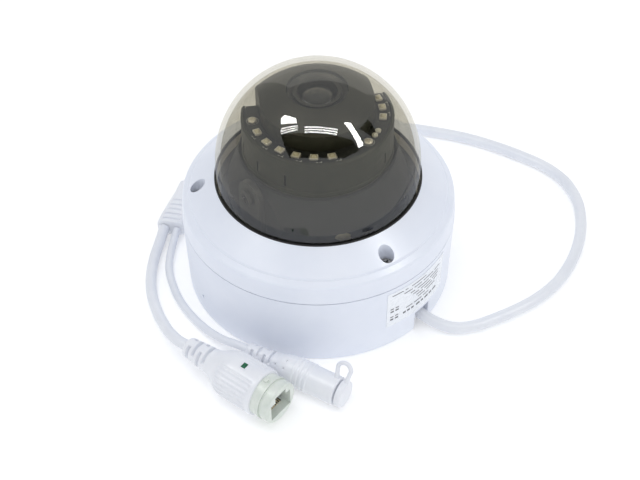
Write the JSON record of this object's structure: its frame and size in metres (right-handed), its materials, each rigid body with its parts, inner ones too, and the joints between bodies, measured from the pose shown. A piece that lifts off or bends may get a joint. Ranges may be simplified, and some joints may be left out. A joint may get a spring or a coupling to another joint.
{
  "type": "dome security camera",
  "caption": "Round dome security camera with a smoked bubble, pan, tilt and turn lens head inside, and a side cable that splits into a network socket and a capped power socket.",
  "frame": {"origin": "centre of the underside that is screwed to a ceiling, wall or box", "axes": "+Z through the dome, away from the mounting surface; -Y towards the two sockets"},
  "size_m": [0.1971, 0.1854, 0.1028],
  "materials": {
    "white_housing": "fine satin powder coat",
    "black_rubber": "matte",
    "screw_steel": "satin",
    "smoked_dome": "polished smoked polycarbonate",
    "plated_steel": "satin",
    "black_plastic": "fine moulded texture",
    "label_film": "smooth film",
    "circuit_board": "solder mask",
    "chip_epoxy": "matte",
    "ivory_plastic": "satin moulded",
    "cable_jacket": "satin PVC",
    "white_plastic": "satin moulded PVC",
    "gold_contacts": "bright",
    "green_window": "translucent",
    "lamp_board_mask": "dark solder mask",
    "lamp_yellow": "clear resin over white ceramic",
    "sensor_cream": "clear resin",
    "lens_black": "anodised look",
    "lens_glass": "coated glass",
    "soft_white": "soft elastomer"
  },
  "bodies": {
    "housing": {"base_housing": "white_housing", "cover": "white_housing", "cover_seal": "black_rubber", "cover_screws": "screw_steel", "dome_bubble": "smoked_dome", "dome_gasket": "black_rubber", "dome_retainer": "plated_steel", "trim_ring": "black_plastic", "retainer_screws": "screw_steel", "rating_label": "label_film", "cable_grommet": "black_rubber", "main_board": "circuit_board", "board_screws": "screw_steel", "board_chips": "chip_epoxy", "board_headers": "ivory_plastic", "harness_plug": "ivory_plastic", "harness": "cable_jacket", "pan_base": "plated_steel", "pan_base_screws": "screw_steel", "main_cable": "cable_jacket", "splitter_block": "white_plastic", "lan_lead": "cable_jacket", "rj45_body": "white_plastic", "rj45_collar": "ivory_plastic", "rj45_contacts": "gold_contacts", "rj45_window": "green_window", "dc_lead": "cable_jacket", "dc_body": "white_plastic", "dc_jack": "black_plastic", "dc_pin": "plated_steel"},
    "pan_yoke": {"pan_stage": "black_plastic", "pan_clip": "plated_steel", "pan_clip_screws": "screw_steel"},
    "tilt_ball": {"ball_shell": "black_plastic", "tilt_screws": "screw_steel"},
    "lens_head": {"lamp_drum": "black_plastic", "roll_clip": "black_plastic", "lamp_board": "lamp_board_mask", "lamp_board_screws": "screw_steel", "ir_lamps": "lamp_yellow", "light_sensor": "sensor_cream", "lens_hood": "black_plastic", "lens_holder": "black_plastic", "lens_barrel": "lens_black", "lens_bezel": "lens_black", "front_glass": "lens_glass", "sensor_board": "circuit_board", "sensor_screws": "screw_steel"},
    "dc_plug_cap": {"dc_cap": "soft_white", "cap_tether": "soft_white"}
  },
  "joints": [
    {"name": "pan", "type": "hinge", "parent": "housing", "child": "pan_yoke", "pos_m": [0, 0, 0.026], "axis": [0, 0, 1], "range_deg": [-177, 177]},
    {"name": "tilt", "type": "hinge", "parent": "pan_yoke", "child": "tilt_ball", "pos_m": [0, 0, 0.0603], "axis": [0.7771, 0.6293, 0], "range_deg": [0, 70]},
    {"name": "lens_turn", "type": "hinge", "parent": "tilt_ball", "child": "lens_head", "pos_m": [0, 0, 0.0645], "axis": [0, 0, 1], "range_deg": [-177, 177]},
    {"name": "cap_pull", "type": "slide", "parent": "housing", "child": "dc_plug_cap", "axis": [0.8517, -0.524, 0], "range_m": [0, 0.012]}
  ]
}
